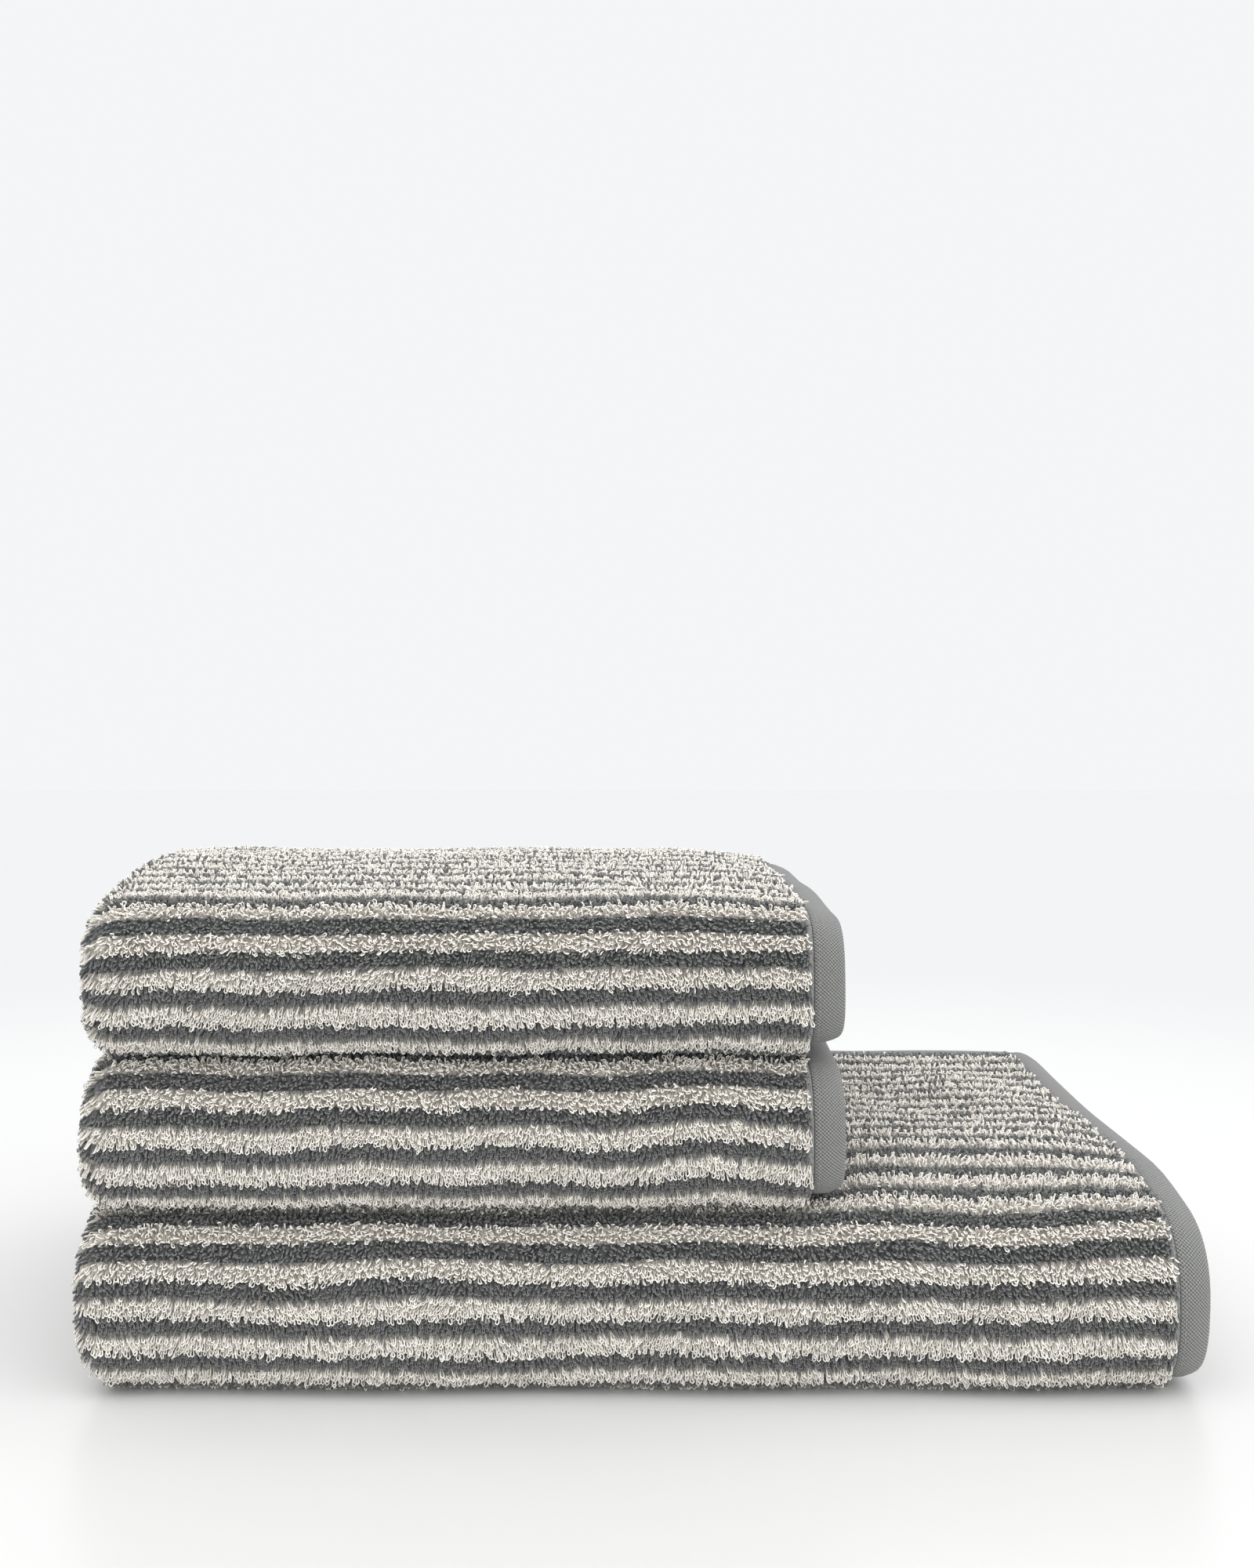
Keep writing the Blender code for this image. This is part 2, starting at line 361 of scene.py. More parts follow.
def new_material(name, inputs):
    """A material with an empty tree but for its shader, whose sockets are set here."""
    made = bpy.data.materials.new(name)
    made.use_nodes = True
    tree = made.node_tree
    tree.nodes.clear()
    output = add_node(tree, "ShaderNodeOutputMaterial")
    shader = add_node(tree, "ShaderNodeBsdfPrincipled", inputs)
    tree.links.new(shader.outputs["BSDF"], output.inputs["Surface"])
    return made, tree, shader


def maths(tree, operation, *values):
    """The outcome of one step of arithmetic on numbers or other nodes' outputs."""
    inputs = dict(enumerate(values))
    return add_node(tree, "ShaderNodeMath", inputs, operation=operation).outputs[0]


def stretch(tree, value, low, high):
    """0 where value is low and 1 where it is high."""
    inputs = {"Value": value, "From Min": low, "From Max": high, "To Min": 0, "To Max": 1}
    return add_node(tree, "ShaderNodeMapRange", inputs).outputs[0]


def mix_colours(tree, factor, low, high):
    """A colour between two, each of them a hex code or another node's output."""
    low, high = (linear(c) if isinstance(c, str) else c for c in (low, high))
    inputs = {"Factor": factor, 6: low, 7: high}
    return add_node(tree, "ShaderNodeMix", inputs, data_type="RGBA").outputs[2]


def dress(tree, shader, colour, height=None, strength=1.0, distance=0.0):
    """Gives a shader its colour, and its relief where there is one."""
    tree.links.new(colour, shader.inputs["Base Color"])
    if height:
        inputs = {"Height": height, "Strength": strength, "Distance": distance}
        tree.links.new(add_node(tree, "ShaderNodeBump", inputs).outputs[0], shader.inputs["Normal"])


# Woven cotton ground seen between the loops: matt, in the colour of the loops round it, and knobbly
# from the loops' feet, one every 1.3 mm, with painted shade in the hollows between the knobs.
terry_ground, tree, shader = new_material(
    "woven cotton terry ground", {"Roughness": 0.95, "Sheen Weight": 0.2, "Sheen Roughness": 0.5}
)
phase = add_node(tree, "ShaderNodeAttribute", attribute_name="stripe").outputs["Fac"]
part = maths(tree, "FRACT", maths(tree, "ADD", phase, 0.5))
from_cream = maths(tree, "ABSOLUTE", maths(tree, "SUBTRACT", part, 0.5))
stripes = stretch(tree, from_cream, 0.235, 0.265)
bare_strip = add_node(tree, "ShaderNodeAttribute", attribute_name="header").outputs["Fac"]
cloth_map = add_node(tree, "ShaderNodeUVMap", uv_map="cloth").outputs[0]
hanging = add_node(
    tree, "ShaderNodeVectorMath", {0: cloth_map, 1: (1.0, 0.55, 1.0)}, operation="MULTIPLY"
)
hollows = add_node(
    tree, "ShaderNodeTexVoronoi", {"Vector": hanging.outputs[0], "Scale": 1 / (1.3 * MM)}
)
knobs_and_hollow_shade = stretch(tree, hollows.outputs["Distance"], 0.75, 0.1)
# Painted shade: the hollows between the knobs are painted darker than the knobs.
cream_ground = mix_colours(tree, knobs_and_hollow_shade, "#8F897F", "#E2DCD1")
charcoal_ground = mix_colours(tree, knobs_and_hollow_shade, "#2E2F30", "#6A6B6A")
striped = mix_colours(tree, stripes, cream_ground, charcoal_ground)
dress(tree, shader, mix_colours(tree, bare_strip, striped, "#848583"), knobs_and_hollow_shade, 1.0, 1.2 * MM)


def top_is_bare(towel, u, v):
    """1 where the towel's upper face has nothing lying on it, falling to 0 under a towel."""
    if towel is upper_hand:
        return np.ones(np.broadcast(u, v).shape)
    run = towel.run(v)
    near_fold = smooth_step((towel.across.height * 1.15 - run) / (18 * MM))
    if towel is lower_hand:
        return near_fold * np.ones(np.broadcast(u, v).shape)
    x = towel.place(u, v, towel.cloth)[..., 0]
    return np.maximum(near_fold, smooth_step((x - hand_right + 6 * MM) / (12 * MM)))


def near_rim(towel, v):
    """1 beside a side hem that lies at the open back, falling to 0 a little way in."""
    high = smooth_step(2 - (towel.width - SIDE_HEM - v) / (9 * MM))
    low = smooth_step(2 - (v - SIDE_HEM) / (9 * MM))
    return high if towel is bath else np.maximum(high, low)


def ground_depth(towel, u, v):
    """How far the ground lies below the tips of the loops, on the outer face."""
    run = towel.run(v)
    above = smooth_step((run + towel.across.height * 0.62) / (14 * MM))
    shows = above * np.where(run > 0, top_is_bare(towel, u, v), 1)
    if towel is bath:
        back = towel.across.small
        middle = (back[0] + back[1]) / 2
        shows = np.maximum(shows, smooth_step(1.6 - np.abs(v - middle) / (16 * MM)))
    outer_third = smooth_step((u - towel.along.big[0]) / (10 * MM) + 1)
    fold = sum(towel.along.small) / 2
    shows = np.maximum(shows * outer_third, smooth_step(1.5 - np.abs(u - fold) / (14 * MM)))
    ends = smooth_step(1.5 - np.abs(u - sum(towel.along.big) / 2) / (20 * MM))
    shows = np.maximum(np.maximum(shows, ends), near_rim(towel, v))
    return PRESSED_ROOM + (PILE_ROOM - PRESSED_ROOM) * shows


def closed_grid(name, points, uv, numbers=None):
    """A closed mesh from two layers of points, layer by row by column: its two faces, and
    walls between them round the rim."""
    rows, columns = points.shape[1:3]
    index = np.arange(rows * columns).reshape(rows, columns)
    low, high = index, index + rows * columns
    quads = [
        np.stack([low[:-1, :-1], low[:-1, 1:], low[1:, 1:], low[1:, :-1]], -1).reshape(-1, 4),
        np.stack([high[:-1, :-1], high[1:, :-1], high[1:, 1:], high[:-1, 1:]], -1).reshape(-1, 4),
        np.stack([low[:-1, 0], low[1:, 0], high[1:, 0], high[:-1, 0]], -1),
        np.stack([low[1:, -1], low[:-1, -1], high[:-1, -1], high[1:, -1]], -1),
        np.stack([low[0, 1:], low[0, :-1], high[0, :-1], high[0, 1:]], -1),
        np.stack([low[-1, :-1], low[-1, 1:], high[-1, 1:], high[-1, :-1]], -1),
    ]
    faces = np.concatenate(quads).tolist()
    return new_mesh(name, points.reshape(-1, 3), faces, uv, numbers, sharp=60)


def new_mesh(name, points, faces, uv, numbers=None, sharp=None):
    """An object from points, faces and a map of the flat cloth. It is smooth, but for edges
    sharper than the angle sharp, in degrees. numbers holds attributes of its points."""
    mesh = bpy.data.meshes.new(name)
    mesh.from_pydata(points.tolist(), [], faces)
    corner = np.empty(len(mesh.loops), np.int32)
    mesh.loops.foreach_get("vertex_index", corner)
    layer = mesh.uv_layers.new(name="cloth")
    layer.uv.foreach_set("vector", uv.reshape(-1, 2)[corner].astype(np.float32).ravel())
    for key, values in (numbers or {}).items():
        attribute = mesh.attributes.new(key, "FLOAT", "POINT")
        attribute.data.foreach_set("value", values.astype(np.float32).ravel())
    mesh.validate()
    mesh.shade_smooth()
    if sharp:
        mesh.set_sharp_from_angle(angle=math.radians(sharp))
    thing = bpy.data.objects.new(name, mesh)
    scene.collection.objects.link(thing)
    return thing


FLAT_STEP = 18 * MM
HEADER = 3.2 * MM  # the strip without loops between the pile and the end hem
BEND_STEPS = 12
sheets = {}
for towel in towels:
    u_marks = steps_between(
        END_HEM + LAYER_GAP,
        towel.length - END_HEM - LAYER_GAP,
        towel.along.bends,
        FLAT_STEP,
        BEND_STEPS,
    )
    v_marks = steps_between(
        SIDE_HEM + LAYER_GAP,
        towel.width - SIDE_HEM - LAYER_GAP,
        towel.across.bends,
        FLAT_STEP,
        BEND_STEPS + 4,
    )
    last = towel.length - END_HEM
    u_marks = np.union1d(u_marks, [last - HEADER, last - HEADER + 0.8 * MM, last - 1.5 * MM])
    u, v = np.meshgrid(u_marks, v_marks, indexing="ij")
    outer = towel.cloth - ground_depth(towel, u, v)
    header = smooth_step((u - last + HEADER) / (0.8 * MM))
    dip = smooth_step((u - last + HEADER) / HEADER)
    outer += dip * (towel.cloth / 2 + 1.5 * MM - outer)
    inner = 0.5 * MM + (PILE_ROOM - 0.5 * MM) * near_rim(towel, v)
    points = np.stack([towel.place(u, v, inner), towel.place(u, v, outer)])
    flat_map = np.stack([u, towel.run(v)], -1)
    stripe = stripe_phase(towel, u, towel.run(v))
    sheets[towel.name] = closed_grid(
        f"{towel.name}_terry_sheet",
        points,
        np.stack([flat_map, flat_map]),
        {"stripe": np.stack([stripe, stripe]), "header": np.stack([header, header])},
    )
    sheets[towel.name].data.materials.append(terry_ground)
    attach(sheets[towel.name], towel.body)
    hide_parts(f"{towel.name}_terry_cloth")

# --- Terry loops --------------------------------------------------------------------------
# Each loop is a few millimetres of soft two-ply cotton yarn that stands out of the ground
# and folds back into it. Where the cloth hangs, the loops hang with it and lie over each
# other like shingles, and where it lies flat they stand, leaning every way.
LOOP_SPREAD = 0.72  # how far its sides bow apart, as a share of its height
HANDLE_HEIGHT = 4 / 3  # lifts the middle of the curve to a height of 1
TIP_ROUNDNESS = 1.5
DROOP_POWER = 1.6  # how much later the tip gives way than the foot


def new_tree(name, inputs):
    """An empty Geometry Nodes tree with named inputs, and the outputs that bring them in."""
    tree = bpy.data.node_groups.new(name, "GeometryNodeTree")
    for socket, kind in inputs.items():
        tree.interface.new_socket(socket, in_out="INPUT", socket_type="NodeSocket" + kind)
    tree.interface.new_socket("Grown", in_out="OUTPUT", socket_type="NodeSocketGeometry")
    return tree, add_node(tree, "NodeGroupInput").outputs


def finish_tree(tree, shape, material):
    """Ends a tree: smooth, each copy made real, and in its material."""
    smooth = add_node(tree, "GeometryNodeSetShadeSmooth", {"Geometry": shape})
    real = add_node(tree, "GeometryNodeRealizeInstances", {0: smooth.outputs[0]})
    inputs = {"Geometry": real.outputs[0], "Material": material}
    dressed = add_node(tree, "GeometryNodeSetMaterial", inputs)
    add_node(tree, "NodeGroupOutput", {0: dressed.outputs[0]})


def grow(tree, seeds, values):
    """The plain mesh that a tree grows on a mesh."""
    source = bpy.data.objects.new(seeds.name, seeds)
    scene.collection.objects.link(source)
    modifier = source.modifiers.new(tree.name, "NODES")
    modifier.node_group = tree
    for socket in tree.interface.items_tree:
        if socket.name in values:
            modifier[socket.identifier] = values[socket.name]
    graph = bpy.context.evaluated_depsgraph_get()
    mesh = bpy.data.meshes.new_from_object(source.evaluated_get(graph), depsgraph=graph)
    bpy.data.objects.remove(source)
    return mesh


loop_tree, given = new_tree(
    "terry loops",
    {"Feet": "Geometry", "Yarn radius": "Float", "Spread": "Float", "Steps": "Int", "Yarn": "Material"},
)
from_feet = {}
for name, kind in (
    ("out", "FLOAT_VECTOR"),
    ("side", "FLOAT_VECTOR"),
    ("fall", "FLOAT_VECTOR"),
    ("height", "FLOAT"),
    ("rise", "FLOAT"),
):
    reading = add_node(loop_tree, "GeometryNodeInputNamedAttribute", {"Name": name}, data_type=kind)
    from_feet[name] = reading.outputs[0]

# One loop, 1 high: a curve that bows out from its two feet and has a round tip.
bow = maths(loop_tree, "MULTIPLY", given["Spread"], -1.0)
first_handle = add_node(loop_tree, "ShaderNodeCombineXYZ", {"X": bow, "Z": HANDLE_HEIGHT})
last_handle = add_node(
    loop_tree, "ShaderNodeCombineXYZ", {"X": given["Spread"], "Z": HANDLE_HEIGHT}
)
one_loop = add_node(
    loop_tree,
    "GeometryNodeCurvePrimitiveBezierSegment",
    {
        "Resolution": given["Steps"],
        "Start": (-0.05, 0, 0),
        "Start Handle": first_handle.outputs[0],
        "End Handle": last_handle.outputs[0],
        "End": (0.05, 0, 0),
    },
    mode="POSITION",
)
one_poly = add_node(loop_tree, "GeometryNodeCurveToMesh", {"Curve": one_loop.outputs[0]})
one_line = add_node(loop_tree, "GeometryNodeMeshToCurve", {"Mesh": one_poly.outputs[0]})
where = add_node(loop_tree, "GeometryNodeInputPosition")
apart = add_node(loop_tree, "ShaderNodeSeparateXYZ", {0: where.outputs[0]}).outputs
to_tip = maths(loop_tree, "SUBTRACT", 1.0, apart["Z"])
higher = maths(loop_tree, "SUBTRACT", 1.0, maths(loop_tree, "POWER", to_tip, TIP_ROUNDNESS))
rounder = add_node(loop_tree, "ShaderNodeCombineXYZ", {"X": apart["X"], "Z": higher})
round_line = add_node(
    loop_tree,
    "GeometryNodeSetPosition",
    {"Geometry": one_line.outputs[0], "Position": rounder.outputs[0]},
)
rising = add_node(
    loop_tree,
    "GeometryNodeStoreNamedAttribute",
    {"Geometry": round_line.outputs[0], "Name": "rise", "Value": apart["Z"]},
    data_type="FLOAT",
    domain="POINT",
)

# A copy on each foot, turned and scaled, drooping more towards its tip, then made a tube.
turned = add_node(
    loop_tree,
    "FunctionNodeAxesToRotation",
    {0: from_feet["out"], 1: from_feet["side"]},
    primary_axis="Z",
    secondary_axis="X",
)
feet_points = add_node(loop_tree, "GeometryNodeMeshToPoints", {"Mesh": given["Feet"]})
copies = add_node(
    loop_tree,
    "GeometryNodeInstanceOnPoints",
    {
        "Points": feet_points.outputs[0],
        "Instance": rising.outputs[0],
        "Rotation": turned.outputs[0],
        "Scale": from_feet["height"],
    },
)
single = add_node(loop_tree, "GeometryNodeRealizeInstances", {0: copies.outputs[0]})
give = add_node(
    loop_tree,
    "ShaderNodeVectorMath",
    {0: from_feet["fall"], "Scale": maths(loop_tree, "POWER", from_feet["rise"], DROOP_POWER)},
    operation="SCALE",
)
drooped = add_node(
    loop_tree, "GeometryNodeSetPosition", {"Geometry": single.outputs[0], "Offset": give.outputs[0]}
)
yarn_section = add_node(
    loop_tree, "GeometryNodeCurvePrimitiveCircle", {"Resolution": 3, "Radius": given["Yarn radius"]}
)
tubes = add_node(
    loop_tree,
    "GeometryNodeCurveToMesh",
    {"Curve": drooped.outputs[0], "Profile Curve": yarn_section.outputs[0]},
)
finish_tree(loop_tree, tubes.outputs[0], given["Yarn"])


def yarn_material(name, shade, colour):
    """Soft cotton yarn: matt, with a bloom of fine fibres, each loop a shade of its own, with painted
    shade towards its foot and a painted highlight towards its tip.
    """
    made, tree, shader = new_material(
        name,
        {
            "Roughness": 0.92,
            "Specular IOR Level": 0.2,
            "Sheen Weight": 0.40,
            "Sheen Roughness": 0.45,
            "Sheen Tint": (1.0, 1.0, 1.0, 1.0),
        },
    )
    tone = add_node(tree, "ShaderNodeAttribute", attribute_name="tone").outputs["Fac"]
    dress(tree, shader, mix_colours(tree, tone, shade, colour))
    return made


# Each yarn runs from painted shade at a loop's foot to its own colour at the tip.
yarns = {
    "cream": yarn_material("two-ply cotton yarn, cream", "#BCB5A9", "#FAF6EE"),
    "charcoal": yarn_material("two-ply cotton yarn, charcoal", "#303132", "#7D7E7D"),
}
loop_pieces = {t.name: [] for t in towels}
combing = {t.name: Ripples(40 + t.seed, 0.02, 0.07, 0.38, 9) for t in towels}
ruffling = {t.name: Ripples(50 + t.seed, 0.03, 0.09, 0.22, 9) for t in towels}
MOST_TRIANGLES = 190_000


def keep_above_table(mesh):
    """Presses what would reach into the table flat on it."""
    points = np.empty(len(mesh.vertices) * 3, np.float32)
    mesh.vertices.foreach_get("co", points)
    points = points.reshape(-1, 3)
    low = points[:, 2] < 0.6 * MM
    points[low, 2] = (0.5 * MM + 0.1 * (points[low, 2] - 0.6 * MM)).clip(0.1 * MM)
    mesh.vertices.foreach_set("co", points.ravel())
    mesh.update()


def lay_out_bake(mesh, detail):
    """A map with a small square of its own for each loop, its tube opened flat."""
    corner = np.empty(len(mesh.loops), np.int32)
    mesh.loops.foreach_get("vertex_index", corner)
    loop, at = np.divmod(corner, 3 * (detail + 1))
    step, side = np.divmod(at.reshape(-1, 4), 3)
    wraps = (side.max(axis=1) == 2) & (side.min(axis=1) == 0)
    side[wraps[:, None] & (side == 0)] = 3
    cells = math.ceil(math.sqrt(loop.max() + 1))
    row, column = np.divmod(loop.reshape(-1, 4), cells)
    flat = np.stack([column + 0.1 + 0.8 * step / detail, row + 0.1 + 0.8 * side / 3], -1) / cells
    layer = mesh.uv_layers.new(name="OFBake")
    layer.uv.foreach_set("vector", flat.astype(np.float32).ravel())


def grow_loops(towel, zone, u, v, w, flatten=0.0, face=1, flare=0.0):
    """Loops at the given feet: one piece for each yarn, or more where one would be too big.
    face is -1 on the inner face, and flare is how far they lean over the hem beside them."""
    _, _, tall, radius, cream_steps = ZONES[zone]
    chance = np.random.default_rng(100 * towel.seed + sum(map(ord, zone)))
    at, (along, across, out) = towel.directions(u, v, w)
    out = np.reshape(face, (-1, 1)) * out
    run = towel.run(v)
    phase = stripe_phase(towel, u, run) + chance.normal(0, 0.018, len(u))
    cream = np.abs((phase + 0.5) % 1 - 0.5) < 0.25

    # Each hangs as far as the cloth is steep, is combed this way and that with its
    # neighbours, and strays a little by itself. The further it leans the lower it lies.
    down = np.array([0.0, 0.0, -1.0])
    under = out @ down
    held = (under < 0) | (flatten > 0)
    hang = down - np.where(held, under, 0)[:, None] * out
    steep = np.linalg.norm(hang, axis=1, keepdims=True)
    comb = combing[towel.name].at(u, run)[:, None]
    ruffle = ruffling[towel.name].at(u, run)[:, None]
    spread = chance.normal(0, 1, (len(u), 2))
    loose = 0.22 + 0.30 * (1 - steep)
    lean = hang * (0.95 + 0.30 * ruffle) + along * (0.55 * comb + loose * spread[:, :1])
    lean += across * ((0.35 + 0.3 * ruffle) * (1 - steep) * 0.4 + loose * spread[:, 1:])
    lean = lean * (1 + flatten) + np.reshape(flare, (-1, 1)) * across
    length = np.linalg.norm(lean, axis=1, keepdims=True)
    sink = np.clip(0.34 * length**2 + 0.25 * flatten, 0, 0.85)
    size = tall * MM * chance.uniform(0.82, 1.16, len(u)) * np.where(cream, 1.0, 0.86)
    fall = (lean / np.maximum(1, length / 0.92) - out * sink) * size[:, None]

    # It faces along the rows where it hangs, and any way where it stands.
    turn = chance.normal(0, 0.65, len(u))[:, None] * (1 + 2 * (1 - steep))
    side = along * np.cos(turn) + across * np.sin(turn)
    tone = np.clip(0.5 + 0.22 * chance.normal(0, 1, len(u)), 0, 1)
    painted_top_light = 0.28 if zone == "top" else 0.05  # painted light: loops on the tops are painted paler, as if lit from above

    for yarn, chosen, detail in (("cream", cream, cream_steps), ("charcoal", ~cream, 3)):
        order = np.flatnonzero(chosen)
        order = order[np.argsort(u[order], kind="stable")]
        parts = max(1, math.ceil(len(order) * detail * 6 / MOST_TRIANGLES))
        for number, picked in enumerate(np.array_split(order, parts), 1):
            tail = f"_{number}" if parts > 1 else ""
            name = f"{towel.name}_{yarn}_loops_{zone}{tail}"
            feet = bpy.data.meshes.new(name + "_feet")
            feet.vertices.add(len(picked))
            feet.vertices.foreach_set("co", at[picked].astype(np.float32).ravel())
            for key, values in (("out", out), ("side", side), ("fall", fall)):
                attribute = feet.attributes.new(key, "FLOAT_VECTOR", "POINT")
                attribute.data.foreach_set("vector", values[picked].astype(np.float32).ravel())
            for key, values in (("height", size), ("tone", tone)):
                attribute = feet.attributes.new(key, "FLOAT", "POINT")
                attribute.data.foreach_set("value", values[picked].astype(np.float32))
            sizes = {"Yarn radius": radius * MM, "Spread": LOOP_SPREAD, "Steps": detail}
            mesh = grow(loop_tree, feet, {**sizes, "Yarn": yarns[yarn]})
            mesh.name = name
            if towel is bath:
                keep_above_table(mesh)
            lay_out_bake(mesh, detail)
            rise, own_tone = np.empty((2, len(mesh.vertices)), np.float32)
            mesh.attributes["rise"].data.foreach_get("value", rise)
            mesh.attributes["tone"].data.foreach_get("value", own_tone)
            # Painted shade and light: each loop is painted darker at its foot and paler at its tip, and
            # paler still on the tops, over its own random tone.
            tone_and_painted_light = np.clip(0.62 * rise + 0.5 * own_tone + painted_top_light, 0, 1)
            mesh.attributes["tone"].data.foreach_set("value", tone_and_painted_light)
            for key in ("out", "side", "fall", "height", "rise"):
                if key in mesh.attributes:
                    mesh.attributes.remove(mesh.attributes[key])
            piece = bpy.data.objects.new(name, mesh)
            scene.collection.objects.link(piece)
            loop_pieces[towel.name].append(piece)
            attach(piece, towel.body)


def scatter(towel, zone, u_range, runs, patch=""):
    """Loop feet in staggered rows, a little out of line: their u and v."""
    chance = np.random.default_rng(1000 * towel.seed + sum(map(ord, patch or zone)))
    u_gap, run_gap = (MM * gap for gap in ZONES[zone][:2])
    rows = max(1, round((runs[1] - runs[0]) / run_gap))
    columns = max(1, round((u_range[1] - u_range[0]) / u_gap))
    i, j = np.meshgrid(np.arange(rows), np.arange(columns), indexing="ij")
    across = (i + 0.5 + chance.uniform(-0.35, 0.35, i.shape)) / rows
    along = (j + 0.25 + 0.5 * (i % 2) + chance.uniform(-0.33, 0.33, i.shape)) / columns
    along = np.clip(along, 0, 1)
    u = u_range[0] + along * (u_range[1] - u_range[0])
    run = runs[0] + across * (runs[1] - runs[0])
    return u.ravel(), towel.v_at(run.ravel())


BELLY = 0.76  # how far down the front zone reaches, as a share of the towel's height
BROW = 0.90  # and how far up
RIM = (0.7 * MM, 9.7 * MM)  # from a side hem's inner edge
# In mm: from loop to loop along the towel and across it, how tall a loop is, and its yarn's
# radius. Then the number of steps round a cream loop: where loops show less they are fewer.
ZONES = {
    "front": (1.72, 1.64, 3.1, 0.34, 4),
    "top": (2.20, 2.15, 2.5, 0.38, 3),
    "pressed": (5.5, 5.1, 2.6, 0.45, 3),
    "left": (2.4, 3.2, 3.6, 0.43, 3),
    "right": (2.0, 3.6, 3.4, 0.44, 3),
    "back": (3.7, 3.6, 3.6, 0.45, 3),
    "rims": (3.8, 4.5, 3.0, 0.42, 3),
}
for towel in towels:
    end = towel.length - END_HEM - HEADER + 1.5 * MM
    left_fold = towel.along.big
    right_fold = towel.along.small
    start = left_fold[1] - 4 * MM
    lowest = towel.run(SIDE_HEM + 1 * MM)
    belly = -BELLY * towel.across.height
    brow = BROW * towel.across.height
    back = towel.run(towel.width - SIDE_HEM - 1 * MM)
    root = towel.cloth - PILE_ROOM - 0.2 * MM

    u, v = scatter(towel, "front", (start, end), (belly, brow))
    grow_loops(towel, "front", u, v, root)
    u, v = scatter(towel, "top", (start, end), (brow, back))
    bare = top_is_bare(towel, u, v) > 0.5
    if bare.any():
        grow_loops(towel, "top", u[bare], v[bare], root)
    u, v = scatter(towel, "pressed", (start, end), (brow, back))
    covered = top_is_bare(towel, u, v) <= 0.5
    if covered.any():
        pressed_root = towel.cloth - PRESSED_ROOM - 0.3 * MM
        grow_loops(towel, "pressed", u[covered], v[covered], pressed_root, flatten=0.8)

    # The folded ends: at the left, where the outer face is half as long again as the middle,
    # and at the right, set back under the hem.
    u, v = scatter(towel, "left", (left_fold[0], start), (lowest, back))
    grow_loops(towel, "left", u, v, root)
    u, v = scatter(towel, "right", right_fold, (lowest, back))
    grow_loops(towel, "right", u, v, root + 0.4 * MM)

    # The bath towel's last fold at the back, and the rims that lie open there.
    if towel is bath:
        round_back = towel.run(np.array(towel.across.small)) + (-6 * MM, 6 * MM)
        u, v = scatter(towel, "back", (start, end), round_back)
        grow_loops(towel, "back", u, v, root)
    rims = [(towel.width - SIDE_HEM, -1)]
    if towel is not bath:
        rims.append((SIDE_HEM, 1))
    rim_feet = []
    for edge, inwards in rims:
        strip = towel.run(np.sort(edge + inwards * np.array(RIM)))
        for face, level in ((1, root), (-1, PILE_ROOM + 0.2 * MM)):
            u, v = scatter(towel, "rims", (END_HEM, end), strip, f"rim {edge} {face}")
            flare = np.full(u.shape, -0.7 * inwards)
            rim_feet.append([u, v, np.full(u.shape, level), np.full(u.shape, face), flare])
    u, v, w, face, flare = np.concatenate(rim_feet, axis=1)
    grow_loops(towel, "rims", u, v, w, flatten=0.3, face=face, flare=flare)

# --- Hems ---------------------------------------------------------------------------------
# The four edges have no loops. The ground runs on as a flat, dense pique band, is turned
# over twice and is stitched down close to the pile, so a hem is a firm band with a round edge.
WEAVE_PITCH = 1.3 * MM  # coarser than the real 0.8 mm, which would not show
hem_cloth, tree, shader = new_material(
    "woven cotton pique hem", {"Roughness": 0.85, "Sheen Weight": 0.25, "Sheen Roughness": 0.5}
)
cloth_map = add_node(tree, "ShaderNodeUVMap", uv_map="cloth").outputs[0]
flat = add_node(tree, "ShaderNodeSeparateXYZ", {0: cloth_map}).outputs
ribs = []
for way in ("ADD", "SUBTRACT"):
    slant = maths(tree, way, flat["X"], flat["Y"])
    turns = maths(tree, "MULTIPLY", slant, 2 * math.pi / (WEAVE_PITCH * math.sqrt(2)))
    ribs.append(maths(tree, "SINE", turns))
twill = maths(tree, "MULTIPLY_ADD", ribs[0], 0.7, 0.5)
pique = maths(tree, "MULTIPLY_ADD", ribs[1], 0.5, twill)
fibres = add_node(tree, "ShaderNodeTexNoise", {"Vector": cloth_map, "Scale": 1600, "Detail": 2})
knots = maths(tree, "MULTIPLY_ADD", pique, 0.6, fibres.outputs[0])
# Painted shade: the pits of the weave are painted darker than its raised knots, over the fibres' own
# random tone.
hem_colour_with_pit_shade = mix_colours(tree, stretch(tree, knots, 0.2, 1.3), "#4A4B4A", "#949592")
dress(tree, shader, hem_colour_with_pit_shade, knots, 0.9, 0.4 * MM)

# Half the hem's thickness across its width, from the edge by the pile to the free edge.
HEM_SECTION = (
    (0.00, 0.45), (0.03, 0.72), (0.10, 0.80), (0.16, 0.78), (0.24, 0.95),
    (0.45, 1.05), (0.70, 1.03), (0.86, 0.98), (0.94, 0.80), (0.985, 0.48), (1.00, 0.15),
)
HEM_ROLL = 3.4 * MM  # how far the free edge of the outer end hem rolls in
HEM_DRAW = 1.8 * MM  # and how far that draws it back


def closed_tube(name, rings, uv):
    """A tube through rings of points, with its two ends filled."""
    count, sides = rings.shape[:2]
    index = np.arange(count * sides).reshape(count, sides)
    after = np.roll(index, -1, axis=1)
    faces = np.stack([index[:-1], index[1:], after[1:], after[:-1]], -1).reshape(-1, 4).tolist()
    for k in range(sides):
        faces.append([int(index[0, k]), int(after[0, k]), count * sides])
        faces.append([int(after[-1, k]), int(index[-1, k]), count * sides + 1])
    points = np.concatenate([rings.reshape(-1, 3), rings.mean(axis=1)[[0, -1]]])
    flat = np.concatenate([uv.reshape(-1, 2), uv.mean(axis=1)[[0, -1]]])
    return new_mesh(name, points, faces, flat)


